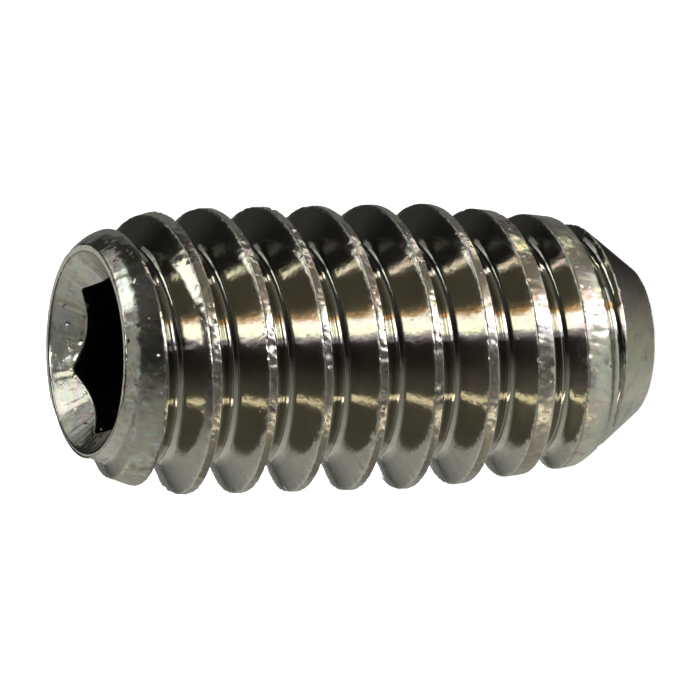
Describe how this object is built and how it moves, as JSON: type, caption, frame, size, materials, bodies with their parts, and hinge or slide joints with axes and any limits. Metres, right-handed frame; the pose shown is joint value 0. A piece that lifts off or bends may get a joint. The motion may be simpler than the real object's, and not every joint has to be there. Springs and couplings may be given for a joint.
{
  "type": "grub set screw",
  "caption": "Headless set screw with a full-length right-hand thread, a hexagonal socket in one end and a cup point on the other.",
  "frame": {"origin": "centre of the cup's rim, on the surface that the screw stands on", "axes": "+Z along the screw's axis from the cup point to the socket end; +X and +Y square to it, with a crest of the thread reaching the socket end face 62 degrees round from +X"},
  "size_m": [0.0062, 0.0062, 0.0125],
  "materials": {
    "stainless_steel": "bright machined stainless steel, with cutting marks, small burrs on the crests and brown-grey reflections"
  },
  "bodies": {
    "root": {"set_screw": "stainless_steel"}
  },
  "joints": []
}
